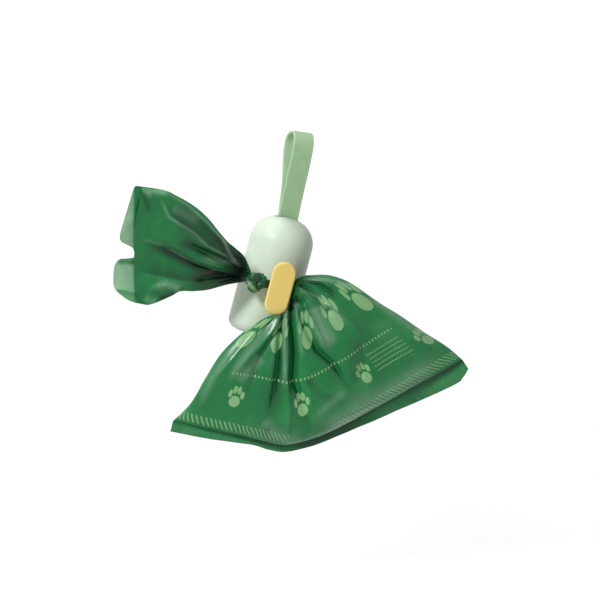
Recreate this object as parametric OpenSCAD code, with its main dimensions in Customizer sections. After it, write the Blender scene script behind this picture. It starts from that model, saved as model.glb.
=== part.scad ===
// Dog waste-bag dispenser: capsule case on a webbing loop, refill roll inside, tied bag in its clip.
// The case is modelled upright with the top of its dome at zero, then leaned and moved as it hangs.

/* [Case] */
// Outer diameter of the case
case_diameter = 42; // [41:0.5:50]
// Height of the case from the top of the dome to the flat base
case_height = 79.3; // [78:0.1:98]
// Wall thickness of the case
wall = 1.6; // [1.4:0.1:1.8]
// Depth of the joint line below the top of the dome
seam_depth = 44.3; // [43:0.1:45]
// Radius of the dome's shoulder, seen from the side
dome_shoulder = 17; // [15:0.5:18]
// Radius of the flatter crown of the dome
dome_crown = 30; // [28:1:40]
// Radius round the edge of the base
base_radius = 6; // [4:0.5:8]
// Lean of the hanging case from the vertical, degrees
case_lean = 15; // [10:1:16]

/* [Strap] */
// Width of the webbing
strap_width = 13.5; // [11:0.5:14]
// Thickness of the webbing
strap_thickness = 1.6; // [1.4:0.1:1.8]
// Height of the loop above the dome
strap_height = 56.7; // [46:0.1:68]
// Outside radius of the top of the loop
strap_bend = 10; // [8:0.5:11]
// Lean of the loop back towards the vertical, degrees
strap_lean = 5; // [0:1:6]

/* [Clip] */
// Length of the clip plate
clip_length = 35.5; // [30:0.5:37]
// Width of the clip plate
clip_width = 15.5; // [13:0.5:16]
// Thickness of the clip plate
clip_thickness = 3; // [2.6:0.1:3.6]
// Free gap between the clip plate and the case
clip_gap = 7.5; // [7.2:0.1:8]
// Depth of the middle of the clip plate below the top of the dome
clip_depth = 43.9; // [43.5:0.1:44.5]

/* [Refill roll] */
// Outer diameter of the roll of bags
roll_diameter = 31; // [26:0.5:32]
// Length of the roll of bags
roll_length = 57; // [48:0.5:58]
// Inside diameter of the cardboard core
core_bore = 11.2; // [11:0.2:13]

/* [Full bag] */
// Diameter of the twisted neck of the bag, as far as the clip's gap has room for it
neck_diameter = 6.6; // [5.6:0.1:6.8]
// Diameter of the knot
knot_diameter = 14.4; // [12:0.2:14.8]
// Thickness of the gathered film of the open end
tail_thickness = 1.6; // [1:0.1:3]

/* [Hidden] */
$fn = 96;
fit = 0.05;
gap = 0.3;
case_r = case_diameter / 2;
bore_r = case_r - wall;
collar_r = bore_r - 0.1;
collar_bore_r = collar_r - 1.9;
collar_top = seam_depth - 16;
floor_top = case_height - 1.8;
shoulder_in = case_r - dome_shoulder;
shoulder_depth = dome_crown - sqrt(pow(dome_crown - dome_shoulder, 2) - pow(shoulder_in, 2));
slot_half = 9;
slot_open = 3.8;

pin_depth = 7;
pin_r = 1.5;
pin_half = 12;
ear_in = 8.5;
ear_out = 16.4;
ear_bottom = 11.4;
keeper_thickness = 1.7;
keeper_half_width = 4;
keeper_half_length = 16;
keeper_screw_x = 14;
screw_r = 1.1;
head_r = 2.1;

seal_depth = seam_depth - 8;
seal_r = 0.6;
seal_ring_r = bore_r - fit - seal_r;

plate_front = case_r + clip_gap + clip_thickness;
clip_edge = 1.2;
post_half_width = 4;
neck_r = min(neck_diameter, clip_gap - 0.9) / 2;
neck_depth = clip_depth - 0.9;
neck_y = -case_r - clip_gap / 2;
neck_lift = 21;
post_top = neck_depth + neck_r + gap;
post_bottom = clip_depth + clip_length / 2 - 2.5;
clip_screw_inset = 2.6;
clip_screw_high = post_top + clip_screw_inset;
clip_screw_low = post_bottom - clip_screw_inset;
backing_thickness = 1;

core_r = core_bore / 2 + 1.3;
roll_r = roll_diameter / 2;
roll_bottom = floor_top - gap;
roll_top = roll_bottom - roll_length;
peg_r = core_bore / 2 - 0.08;
peg_height = 8;
film = 0.5;
leader_offset = roll_r + 0.6;
leader_angle = acos(leader_offset / case_r);
leader_out = 12;
lip_mid = (seam_depth + 2 + case_height - base_radius) / 2;
lip_half = 12;
lip_wall = 1.2;
lip_slit = 2;

knot_r = knot_diameter / 2;
knot_x = -16;
knot_y = neck_y - 1.2;
knot_z = -neck_depth - 0.6;
neck_left = knot_x + sqrt(knot_r * knot_r - 1.8) + gap;
neck_right = clip_width / 2 + 0.9;
loop_top = strap_height - strap_thickness;
hang_lean = case_lean - strap_lean;

// Puts what hangs straight from the dome's top in place: the inside top of the loop is the origin.
module hung() {
  translate([-loop_top * sin(hang_lean), 0, -loop_top * cos(hang_lean)]) children();
}

// Puts the upright case in its leaning place.
module placed() {
  hung() rotate([0, case_lean, 0]) children();
}

// Starts at the right end of the bag's neck, with the world's directions.
module at_neck_end() {
  x = neck_right * cos(case_lean) - neck_depth * sin(case_lean);
  z = -neck_right * sin(case_lean) - neck_depth * cos(case_lean);
  hung() translate([x, neck_y, z]) children();
}

// Starts at the middle of the knot, with the world's directions.
module at_knot() {
  x = knot_x * cos(case_lean) + knot_z * sin(case_lean);
  z = -knot_x * sin(case_lean) + knot_z * cos(case_lean);
  hung() translate([x, knot_y, z]) children();
}

// Stands a drawing of depth across and height up on the case's middle plane, centred across.
module standing(width) {
  rotate([90, 0, 90]) linear_extrude(width, center = true) children();
}

// Plate with half-round ends and softened edges, lying flat with its length along Y.
module rounded_plate(length, width, thickness, edge) {
  half = width / 2;
  straight = length - width;
  translate([0, straight / 2, 0]) rotate_extrude() plate_edge(half, thickness, edge);
  translate([0, -straight / 2, 0]) rotate_extrude() plate_edge(half, thickness, edge);
  rotate([90, 0, 0]) linear_extrude(straight, center = true) {
    plate_edge(half, thickness, edge);
    mirror([1, 0]) plate_edge(half, thickness, edge);
  }
}

// Half of the section of a softened plate.
module plate_edge(half, thickness, edge) {
  square([half - edge, thickness]);
  translate([0, edge]) square([half, thickness - 2 * edge]);
  translate([half - edge, edge]) circle(edge);
  translate([half - edge, thickness - edge]) circle(edge);
}

// Webbing: a short hem round the pin, two strands through the slot and a drop-shaped loop above.
module strap_loop() {
  strand = strap_thickness + fit;
  top = strap_height - strap_bend;
  color("#8db483") placed() {
    standing(strap_width) difference() {
      union() {
        translate([0, -pin_depth]) circle(pin_r + fit + strap_thickness);
        translate([-strand, -pin_depth]) square([2 * strand, pin_depth + 2]);
      }
      translate([0, -pin_depth]) circle(pin_r + fit);
    }
    rotate([0, -strap_lean, 0]) standing(strap_width) difference() {
      union() {
        translate([0, top]) circle(strap_bend);
        polygon([[-strand, -0.5], [strand, -0.5], [strand, 3], [strap_bend, top - 2],
          [strap_bend, top], [-strap_bend, top], [-strap_bend, top - 2], [-strand, 3]]);
      }
      translate([0, top]) circle(strap_bend - strap_thickness);
      polygon([[0, 6], [strap_bend - strap_thickness, top - 2],
        [strap_bend - strap_thickness, top], [strap_thickness - strap_bend, top],
        [strap_thickness - strap_bend, top - 2]]);
    }
  }
}

// Steel cross pin that the hem of the strap turns on.
module strap_pin() {
  color("#b9bcc0") placed() translate([0, 0, -pin_depth]) rotate([0, 90, 0])
    cylinder(r = pin_r, h = 2 * pin_half, center = true);
}

// Bridge screwed under the two ears: its tongues keep the pin up in its seats.
module pin_keeper() {
  color("#aebfa9") placed() difference() {
    union() {
      translate([-keeper_half_length, -keeper_half_width, -ear_bottom - keeper_thickness - fit])
        cube([2 * keeper_half_length, 2 * keeper_half_width, keeper_thickness]);
      for (side = [0, 1]) mirror([side, 0, 0]) translate([ear_in + 0.1, -1.35, -ear_bottom - 0.5])
        cube([pin_half - ear_in - 0.2, 2.7, ear_bottom + 0.4 - pin_depth - pin_r]);
    }
    for (side = [-1, 1]) translate([side * keeper_screw_x, 0, -ear_bottom - keeper_thickness - 1])
      cylinder(r = screw_r + 0.2, h = keeper_thickness + 2);
  }
}

// Two pan-head screws that hold the bridge.
module keeper_screws() {
  seat = -ear_bottom - keeper_thickness - 2 * fit;
  color("#c3c6ca") placed() for (side = [-1, 1]) translate([side * keeper_screw_x, 0, seat]) {
    cylinder(r = screw_r, h = 5.2);
    translate([0, 0, -1.2]) difference() {
      cylinder(r = head_r, h = 1.2);
      translate([-0.3, -head_r, -0.1]) cube([0.6, 2 * head_r, 0.6]);
      translate([-head_r, -0.3, -0.1]) cube([2 * head_r, 0.6, 0.6]);
    }
  }
}

// Half of the dome's section: a flat crown runs into the shoulder, and that into the straight side.
// It is taken in by an inset, and goes down to a depth.
module dome_section(inset, depth) {
  far = 2 * dome_crown;
  lean = asin(shoulder_in / (dome_crown - dome_shoulder));
  intersection() {
    translate([0, -depth]) square([case_r - inset, depth]);
    union() {
      translate([0, -depth]) square([case_r - inset, depth - shoulder_depth]);
      translate([shoulder_in, -shoulder_depth]) circle(dome_shoulder - inset);
      intersection() {
        translate([0, -dome_crown]) circle(dome_crown - inset);
        polygon([[0, -dome_crown], [0, far], [far * sin(lean), far * cos(lean) - dome_crown]]);
      }
    }
  }
}

// Upper half: domed cap with the strap's slot, and two ears inside with open seats for the pin.
module dome_cap() {
  color("#d3e6ce") placed() difference() {
    union() {
      rotate_extrude() difference() {
        dome_section(0, seam_depth);
        dome_section(wall, seam_depth + 1);
      }
      intersection() {
        rotate_extrude() dome_section(wall / 2, seam_depth);
        for (side = [0, 1]) mirror([side, 0, 0])
          translate([ear_in, -keeper_half_width, -ear_bottom])
            cube([ear_out - ear_in, 2 * keeper_half_width, ear_bottom]);
      }
    }
    translate([-slot_half, -slot_open, -wall - 3]) cube([2 * slot_half, 2 * slot_open, wall + 4]);
    translate([0, 0, -pin_depth]) rotate([0, 90, 0])
      cylinder(r = pin_r + fit, h = 2 * pin_half + 0.2, center = true);
    translate([-pin_half - 0.1, -pin_r - fit, -ear_bottom - 1])
      cube([2 * pin_half + 0.2, 2 * (pin_r + fit), ear_bottom + 1 - pin_depth]);
    for (side = [-1, 1]) translate([side * keeper_screw_x, 0, -ear_bottom - 1])
      cylinder(r = screw_r + fit, h = 4.8);
  }
}

// Ring that seals and holds the lower half in the cap.
module seal_ring() {
  color("#2f3331") placed() translate([0, 0, -seal_depth]) rotate_extrude()
    translate([seal_ring_r, 0]) circle(seal_r, $fn = 24);
}

// Straight way of the film from the roll out through the wall, at the back of the case.
// Along it the film runs in Y, and its plane is leader_offset from the axis.
module film_way() {
  rotate([0, 0, 90 - leader_angle]) translate([leader_offset, 0, -lip_mid]) children();
}

// Lower half: cup with a collar that slips into the cap, a peg for the roll and the film's slot.
module canister() {
  inner_r = max(base_radius - 1.8, 1);
  exit = case_r * sin(leader_angle);
  color("#d3e6ce") placed() difference() {
    union() {
      rotate_extrude() difference() {
        union() {
          translate([0, -case_height]) square([case_r - base_radius, base_radius]);
          translate([case_r - base_radius, -case_height + base_radius]) circle(base_radius);
          translate([0, -case_height + base_radius])
            square([case_r, case_height - base_radius - seam_depth - 0.2]);
          translate([0, -seam_depth - 1]) square([collar_r, seam_depth + 1 - collar_top]);
        }
        translate([-case_r, -case_height - 1]) square([case_r, case_height + 2]);
        translate([0, -floor_top]) square([bore_r - inner_r, inner_r + 1]);
        translate([bore_r - inner_r, -floor_top + inner_r]) circle(inner_r);
        translate([0, -floor_top + inner_r]) square([bore_r, floor_top - inner_r - seam_depth - 2]);
        translate([0, -seam_depth - 2.5]) square([collar_bore_r, seam_depth + 3.5 - collar_top]);
        translate([seal_ring_r - seal_r - fit, -seal_depth - seal_r - fit])
          square([3, 2 * (seal_r + fit)]);
      }
      translate([0, 0, -floor_top - 0.5]) cylinder(r = peg_r, h = peg_height + 0.5);
    }
    film_way() translate([0, exit, 0])
      cube([lip_slit + 2 * lip_wall + 2 * fit, 8, 2 * (lip_half + lip_wall + fit)], center = true);
    for (depth = [clip_screw_high, clip_screw_low]) translate([0, -bore_r + 2, -depth])
      rotate([90, 0, 0]) cylinder(r = screw_r + 0.2, h = wall + 4);
  }
}

// Yellow clip: softened plate standing off the case on a post. The neck of a bag sits on the post.
module clip_hook() {
  color("#e6c873") placed() difference() {
    union() {
      translate([0, -plate_front, -clip_depth]) rotate([-90, 0, 0])
        rounded_plate(clip_length, clip_width, clip_thickness, clip_edge);
      for (depth = [post_top + post_half_width, post_bottom - post_half_width])
        translate([0, -plate_front + 1, -depth]) rotate([-90, 0, 0])
          cylinder(r = post_half_width, h = clip_gap + clip_thickness);
      translate([-post_half_width, -plate_front + 1, post_half_width - post_bottom])
        cube([2 * post_half_width, clip_gap + clip_thickness,
          post_bottom - post_top - 2 * post_half_width]);
    }
    cylinder(r = case_r + fit, h = 3 * case_height, center = true);
    for (depth = [clip_screw_high, clip_screw_low]) translate([0, -case_r + 1, -depth])
      rotate([90, 0, 0]) cylinder(r = screw_r + fit, h = 8);
  }
}

// Curved plate inside the wall that spreads the pull of the clip's screws.
module clip_backing() {
  inner = bore_r - fit - backing_thickness;
  color("#aebfa9") placed() difference() {
    intersection() {
      translate([0, 0, -post_bottom]) difference() {
        cylinder(r = bore_r - fit, h = post_bottom - post_top);
        translate([0, 0, -1]) cylinder(r = inner, h = post_bottom - post_top + 2);
      }
      translate([-5, -case_r, -case_height]) cube([10, case_r, case_height]);
    }
    for (depth = [clip_screw_high, clip_screw_low]) translate([0, -inner + 2, -depth])
      rotate([90, 0, 0]) cylinder(r = screw_r + 0.2, h = 5);
  }
}

// Two pan-head screws, driven from inside the case into the clip's post.
module clip_screws() {
  seat = bore_r - fit - backing_thickness - 0.2;
  color("#c3c6ca") placed() for (depth = [clip_screw_high, clip_screw_low])
    translate([0, -seat, -depth]) rotate([90, 0, 0]) {
      cylinder(r = screw_r, h = 8.5);
      translate([0, 0, -1.2]) difference() {
        cylinder(r = head_r, h = 1.2);
        translate([-0.3, -head_r, -0.1]) cube([0.6, 2 * head_r, 0.6]);
        translate([-head_r, -0.3, -0.1]) cube([2 * head_r, 0.6, 0.6]);
      }
    }
}

// Soft lip pressed into the film's slot: a flange outside and a slit that grips the film lightly.
module film_lip() {
  exit = case_r * sin(leader_angle);
  color("#5f7a63") placed() difference() {
    union() {
      intersection() {
        film_way() translate([0, exit, 0])
          cube([lip_slit + 2 * lip_wall, 8, 2 * (lip_half + lip_wall)], center = true);
        rotate_extrude() translate([bore_r, -case_height]) square([wall + 0.2, case_height]);
      }
      intersection() {
        film_way() translate([0, exit + 1.5, 0])
          cube([lip_slit + 2 * lip_wall + 3, 8, 2 * (lip_half + lip_wall) + 3], center = true);
        rotate_extrude() translate([case_r + fit, -case_height]) square([0.8, case_height]);
      }
    }
    film_way() translate([0, exit, 0]) cube([lip_slit, 16, 2 * lip_half], center = true);
  }
}

// Cardboard core of the refill roll.
module roll_core() {
  color("#b79a6d") placed() translate([0, 0, -roll_bottom]) difference() {
    cylinder(r = core_r, h = roll_length);
    translate([0, 0, -1]) cylinder(r = core_bore / 2, h = roll_length + 2);
  }
}

// Wound bags of the refill roll.
module bag_roll() {
  color("#2c6f43") placed() translate([0, 0, -roll_bottom]) difference() {
    cylinder(r = roll_r, h = roll_length);
    translate([0, 0, -1]) cylinder(r = core_r + fit, h = roll_length + 2);
  }
}

// Free end of the first bag, from the roll's side out through the lip.
module film_leader() {
  exit = case_r * sin(leader_angle);
  color("#2c6f43") placed() film_way() translate([-film / 2, -2, -11])
    cube([film, exit + 2 + leader_out, 22]);
}

// Twisted neck of the tied bag, lying across the clip's post.
module bag_neck() {
  color("#2c6f43") placed() translate([neck_left, neck_y, -neck_depth]) rotate([0, 90, 0])
    cylinder(r = neck_r, h = neck_right - neck_left);
}

// Knot of the tied bag.
module bag_knot() {
  color("#2c6f43") at_knot() sphere(knot_r);
}

// Filled part of the bag: the outline it hangs in, rounded off from the side and from above.
// It stays in front of the clip and below the case by the way that its neck is lifted out.
module bag_pouch() {
  back = clip_gap / 2 - 1.4;
  base = case_height * cos(case_lean) + case_r * sin(case_lean) - neck_depth * cos(case_lean);
  clip_bottom = clip_depth + clip_length / 2;
  color("#2c6f43") difference() {
    at_neck_end() intersection() {
      translate([0, 20, 0]) rotate([90, 0, 0]) linear_extrude(60)
        polygon([[1.6, 4.4], [7.2, 7.9], [21.2, 10.6], [38.4, 4.2], [57.5, -12.2], [87.7, -31],
          [106.9, -42.6], [115.1, -54.4], [105.4, -64.2], [67.1, -81.3], [33, -95.6],
          [8.2, -103.5], [-8.3, -105.2], [-30.1, -99.4], [-67, -92], [-84.2, -88.6],
          [-81.5, -81.9], [-68.4, -68.2], [-37, -31.1], [-19.2, -25.1], [-6.1, -24.2],
          [-3.3, -16.6]]);
      rotate([90, 0, 90]) linear_extrude(260, center = true)
        polygon([[-1.2, 11.4], [-9.2, 3.4], [-15.2, -12.6], [-22.2, -34.6], [-27.2, -56.6],
          [-27.2, -74.6], [-20.2, -92.6], [-8.2, -106.1], [-5.2, -106.1], [5.8, -94],
          [9.8, -82], [back, -base - neck_lift - 2], [back - 1, -12], [back - 1, 12]]);
      linear_extrude(300, center = true)
        polygon([[-84.8, -8.8], [-56.8, -17.2], [-26.8, -25.2], [3.2, -28.2], [43.2, -27.2],
          [83.2, -19.2], [115.7, -9.2], [115.7, -5.2], [83.2, 3.8], [43.2, 10.8], [3.2, 12.8],
          [-26.8, 12.8], [-56.8, 4.8], [-84.8, -4.8]]);
    }
    placed() translate([-case_height, -plate_front - 0.7, -clip_bottom - neck_lift - 1])
      cube([case_height + neck_right + gap, case_r, case_height]);
  }
}

// Open end of the tied bag, spread flat beside the knot.
module bag_tail() {
  color("#2c6f43") at_knot() translate([0, tail_thickness / 2, 0]) rotate([90, 0, 0])
    linear_extrude(tail_thickness)
      polygon([[-3.8, 8.2], [-8.3, 18.2], [-19.2, 28], [-31.3, 42.9], [-45, 54.8], [-62.1, 63.9],
        [-81.8, 66.4], [-91.4, 32.1], [-83.4, 26.1], [-82.2, 17.9], [-91.2, 19.2], [-95.3, 13.6],
        [-95, -0.7], [-83.4, -10.1], [-69.8, -12.2], [-50.9, -4], [-32.1, -3.8], [-19.2, -0.9],
        [-8.6, 0.4]]);
}

strap_loop();
strap_pin();
pin_keeper();
keeper_screws();
dome_cap();
seal_ring();
canister();
clip_hook();
clip_backing();
clip_screws();
film_lip();
roll_core();
bag_roll();
film_leader();
bag_neck();
bag_knot();
bag_pouch();
bag_tail();
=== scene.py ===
"""Looks of a hanging waste-bag dispenser: case, strap, clip, refill roll and a tied full bag."""

import math

import bpy
from mathutils import Matrix, Vector, noise


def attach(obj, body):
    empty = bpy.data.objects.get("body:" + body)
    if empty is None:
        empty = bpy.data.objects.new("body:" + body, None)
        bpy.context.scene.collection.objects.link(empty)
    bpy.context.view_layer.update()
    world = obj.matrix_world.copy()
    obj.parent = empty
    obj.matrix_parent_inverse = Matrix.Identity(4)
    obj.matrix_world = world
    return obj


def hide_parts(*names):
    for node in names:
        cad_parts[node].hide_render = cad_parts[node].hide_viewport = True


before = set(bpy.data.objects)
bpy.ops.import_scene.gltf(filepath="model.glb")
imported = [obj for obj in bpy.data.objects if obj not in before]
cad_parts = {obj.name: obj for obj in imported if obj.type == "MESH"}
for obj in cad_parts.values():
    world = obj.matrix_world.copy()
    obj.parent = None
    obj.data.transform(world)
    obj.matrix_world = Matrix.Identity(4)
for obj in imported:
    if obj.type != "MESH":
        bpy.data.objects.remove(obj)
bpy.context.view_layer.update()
MM = 0.001

# ---------------------------------------------------------------- sizes shared with the CAD model
CASE_LEAN = math.radians(15)
STRAP_LEAN = math.radians(5)
CASE_R = 21.0
CASE_HEIGHT = 79.3
STRAP_WIDTH = 13.5
STRAP_THICK = 1.6
STRAP_HEIGHT = 56.7
STRAP_BEND = 10.0
STRAP_SPLAY = 1.9
PIN_DEPTH = 7.0
PIN_R = 1.55
NECK_DEPTH = 43.0
NECK_Y = -24.75
NECK_RIGHT = 8.65
NECK_LIFT = 21.0
KNOT_AT = (-16.0, -25.95, -43.6)
ROLL_R = 15.5
ROLL_TOP = -20.2
ROLL_BOTTOM = -77.2
CORE_R = 6.95
LOOP_TOP = STRAP_HEIGHT - STRAP_THICK
HANG_LEAN = CASE_LEAN - STRAP_LEAN
DOME_TOP = Vector((-LOOP_TOP * math.sin(HANG_LEAN), 0.0, -LOOP_TOP * math.cos(HANG_LEAN)))

# Places read from the photograph: its size, its scale and the dome's top in it.
PHOTO_SIZE = 600
MM_PER_PIXEL = 42.0 / 64.0
DOME_PIXEL = (287.9, 216.9)
AZIMUTH = -12.0
ELEVATION = 10.0
DISTANCE = 2.0


def on_case(x, y, z):
    """A point of the upright case, from its dome's top in mm, as it hangs in the row frame."""
    lean = Matrix.Rotation(CASE_LEAN, 3, "Y")
    return (lean @ Vector((x, y, z)) + DOME_TOP) * MM


def camera_axes():
    """Right, up and backward directions of the photograph's camera."""
    a, e = math.radians(AZIMUTH), math.radians(ELEVATION)
    back = Vector((math.sin(a) * math.cos(e), -math.cos(a) * math.cos(e), math.sin(e)))
    right = Vector((math.cos(a), math.sin(a), 0.0))
    return right, back.cross(right), back


RIGHT, UP, BACK = camera_axes()
LOOK_AT = (DOME_TOP + RIGHT * (PHOTO_SIZE / 2 - DOME_PIXEL[0]) * MM_PER_PIXEL
           - UP * (PHOTO_SIZE / 2 - DOME_PIXEL[1]) * MM_PER_PIXEL) * MM
EYE = LOOK_AT + BACK * DISTANCE


def at_pixel(px, py, depth):
    """The point seen at a pixel of the photograph, on the plane y = depth, in mm in the row frame."""
    half = PHOTO_SIZE / 2
    spot = (LOOK_AT / MM + RIGHT * (px - half) * MM_PER_PIXEL
            - UP * (py - half) * MM_PER_PIXEL)
    eye = EYE / MM
    ray = spot - eye
    return eye + ray * ((depth - eye.y) / ray.y)


def pixel_of(p):
    """Where a point of the row frame, in mm, is seen in the photograph."""
    ray = Vector(p) - EYE / MM
    scale = DISTANCE / MM / -ray.dot(BACK) / MM_PER_PIXEL
    return PHOTO_SIZE / 2 + ray.dot(RIGHT) * scale, PHOTO_SIZE / 2 - ray.dot(UP) * scale


# ---------------------------------------------------------------- small tools
def smooth(edge0, edge1, x):
    t = max(0.0, min(1.0, (x - edge0) / (edge1 - edge0)))
    return t * t * (3 - 2 * t)


def mix(a, b, t):
    return a * (1 - t) + b * t


def curve_through(points, t):
    """A point at the fraction t of the length of a smooth curve through the points."""
    points = [Vector(p) for p in points]
    lengths = [0.0]
    for a, b in zip(points, points[1:]):
        lengths.append(lengths[-1] + (b - a).length)
    s = max(0.0, min(1.0, t)) * lengths[-1]
    i = max(k for k in range(len(points) - 1) if lengths[k] <= s + 1e-9)
    f = (s - lengths[i]) / (lengths[i + 1] - lengths[i])
    p0 = points[max(i - 1, 0)]
    p1, p2 = points[i], points[i + 1]
    p3 = points[min(i + 2, len(points) - 1)]
    m1 = (p2 - p0) * 0.5
    m2 = (p3 - p1) * 0.5
    f2, f3 = f * f, f * f * f
    return (p1 * (2 * f3 - 3 * f2 + 1) + m1 * (f3 - 2 * f2 + f)
            + p2 * (3 * f2 - 2 * f3) + m2 * (f3 - f2))


def placed(name, data):
    """A new object in the scene."""
    obj = bpy.data.objects.new(name, data)
    bpy.context.scene.collection.objects.link(obj)
    return obj


def make_object(name, points, faces, uvs=None, values=None, material=None, body=None,
                replaces=(), scale=MM):
    """A smooth mesh object from points in mm, with a flat pattern in metres as its UV map."""
    mesh = bpy.data.meshes.new(name)
    mesh.from_pydata([tuple(Vector(p) * scale) for p in points], [], faces)
    if uvs is not None:
        layer = mesh.uv_layers.new(name="UVMap")
        for loop in mesh.loops:
            layer.data[loop.index].uv = uvs[loop.vertex_index]
    for key, numbers in (values or {}).items():
        attribute = mesh.attributes.new(key, "FLOAT", "POINT")
        attribute.data.foreach_set("value", numbers)
    mesh.validate()
    for polygon in mesh.polygons:
        polygon.use_smooth = True
    obj = placed(name, mesh)
    if material:
        mesh.materials.append(material)
    if body:
        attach(obj, body)
    if replaces:
        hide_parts(*replaces)
    return obj


def grid_faces(rows, columns, close_columns=False, close_rows=False, offset=0, flip=False):
    """Quads of a grid of points stored row after row."""
    faces = []
    for i in range(rows if close_rows else rows - 1):
        this, following = offset + i * columns, offset + (i + 1) % rows * columns
        for j in range(columns if close_columns else columns - 1):
            k = (j + 1) % columns
            quad = (this + j, this + k, following + k, following + j)
            faces.append(quad[::-1] if flip else quad)
    return faces


# ---------------------------------------------------------------- materials
Socket = bpy.types.NodeSocket


class Shader:
    """A material with a Principled shader and short ways to wire its nodes."""

    def __init__(self, name, colour, roughness, **sockets):
        self.material = bpy.data.materials.new(name)
        self.material.use_nodes = True
        self.tree = self.material.node_tree
        self.principled = self.tree.nodes["Principled BSDF"]
        self.set("Base Color", (*colour, 1.0))
        self.set("Roughness", roughness)
        for key, value in sockets.items():
            self.set(key.replace("_", " "), value)

    def set(self, socket, value):
        self.wire(self.principled.inputs[socket], value)

    def node(self, kind, **inputs):
        node = self.tree.nodes.new(kind)
        for key, value in inputs.items():
            self.wire(node.inputs[key.replace("_", " ")], value)
        return node

    def wire(self, socket, value):
        if isinstance(value, Socket):
            self.tree.links.new(value, socket)
        else:
            socket.default_value = value

    def math(self, operation, a, b=None, c=None, clamp=False):
        node = self.tree.nodes.new("ShaderNodeMath")
        node.operation = operation
        node.use_clamp = clamp
        for socket, value in zip(node.inputs, (a, b, c)):
            if value is not None:
                self.wire(socket, value)
        return node.outputs[0]

    def times(self, a, b):
        return self.math("MULTIPLY", a, b)

    def scaled(self, value, factor, shift):
        """The value times a factor, and a shift added."""
        return self.math("MULTIPLY_ADD", value, factor, shift)

    def inverse(self, value):
        """1 less the value."""
        return self.math("SUBTRACT", 1.0, value)

    def vector(self, operation, a, b=None):
        node = self.tree.nodes.new("ShaderNodeVectorMath")
        node.operation = operation
        self.wire(node.inputs[0], a)
        if b is not None:
            self.wire(node.inputs[1], b)
        return node.outputs["Value"] if operation in ("DISTANCE", "LENGTH") else node.outputs[0]

    def step(self, value, low, high):
        """0 below low, 1 above high, smooth between."""
        node = self.node("ShaderNodeMapRange", Value=value, From_Min=low, From_Max=high)
        node.interpolation_type = "SMOOTHSTEP"
        return node.outputs["Result"]

    def colours(self, factor, a, b):
        node = self.tree.nodes.new("ShaderNodeMix")
        node.data_type = "RGBA"
        self.wire(node.inputs["Factor"], factor)
        rgba = [s for s in node.inputs if s.type == "RGBA"]
        for socket, value in zip(rgba, (a, b)):
            self.wire(socket, value if isinstance(value, Socket) else (*value, 1.0))
        return [s for s in node.outputs if s.type == "RGBA"][0]

    def ramp(self, factor, stops):
        """Colours along a factor from 0 to 1: stops are (place, colour)."""
        node = self.node("ShaderNodeValToRGB", Fac=factor)
        while len(node.color_ramp.elements) < len(stops):
            node.color_ramp.elements.new(0.5)
        for element, (place, colour) in zip(node.color_ramp.elements, stops):
            element.position = place
            element.color = (*colour, 1.0)
        return node.outputs["Color"]

    def object_place(self):
        return self.node("ShaderNodeTexCoord").outputs["Object"]

    def uv(self):
        return self.node("ShaderNodeTexCoord").outputs["UV"]

    def attribute(self, name):
        node = self.tree.nodes.new("ShaderNodeAttribute")
        node.attribute_name = name
        return node.outputs["Fac"]

    def noise(self, place, scale, detail=3.0, roughness=0.5):
        node = self.node("ShaderNodeTexNoise", Vector=place, Scale=scale, Detail=detail,
                         Roughness=roughness)
        return node.outputs["Fac"]

    def stretched(self, place, factors):
        return self.vector("MULTIPLY", place, factors)

    def bump(self, height, distance, strength=1.0, normal=None):
        node = self.node("ShaderNodeBump", Height=height, Distance=distance, Strength=strength)
        if normal is not None:
            self.wire(node.inputs["Normal"], normal)
        return node.outputs["Normal"]


def moulded_plastic(name, dark, light, roughness, grain=0.00002):
    """Satin moulded plastic: a very fine spark-eroded grain and a little unevenness of colour."""
    s = Shader(name, light, roughness, Specular_IOR_Level=0.4)
    place = s.object_place()
    cloudy = s.noise(place, 45.0, 4.0)
    s.set("Base Color", s.colours(s.step(cloudy, 0.3, 0.75), dark, light))
    fine = s.noise(place, 2600.0, 2.0)
    s.set("Roughness", s.scaled(fine, 0.12, roughness - 0.06))
    s.set("Normal", s.bump(fine, grain, 1.0))
    return s.material


def metal(name, colour, roughness):
    """Plated steel with faint turning marks."""
    s = Shader(name, colour, roughness, Metallic=1.0)
    place = s.object_place()
    marks = s.noise(s.stretched(place, (400.0, 2500.0, 2500.0)), 1.0, 2.0)
    s.set("Roughness", s.scaled(marks, 0.18, roughness - 0.09))
    s.set("Normal", s.bump(marks, 0.00001, 0.6))
    return s.material


def rubber(name, colour):
    """Matte soft rubber with a dusty bloom."""
    s = Shader(name, colour, 0.7, Specular_IOR_Level=0.3)
    dusty = s.noise(s.object_place(), 220.0, 5.0)
    s.set("Base Color", s.colours(s.step(dusty, 0.45, 0.8), colour, tuple(2.0 * c for c in colour)))
    s.set("Normal", s.bump(dusty, 0.00003, 0.5))
    return s.material


def cardboard(name):
    """Grey-brown card, wound on a slant, with flecks of fibre."""
    s = Shader(name, (0.42, 0.29, 0.16), 0.9, Specular_IOR_Level=0.2)
    place = s.object_place()
    fibres = s.noise(s.stretched(place, (300.0, 300.0, 1400.0)), 1.0, 6.0, 0.65)
    s.set("Base Color", s.colours(fibres, (0.30, 0.20, 0.10), (0.55, 0.40, 0.24)))
    s.set("Normal", s.bump(fibres, 0.00008, 0.8))
    return s.material


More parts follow.
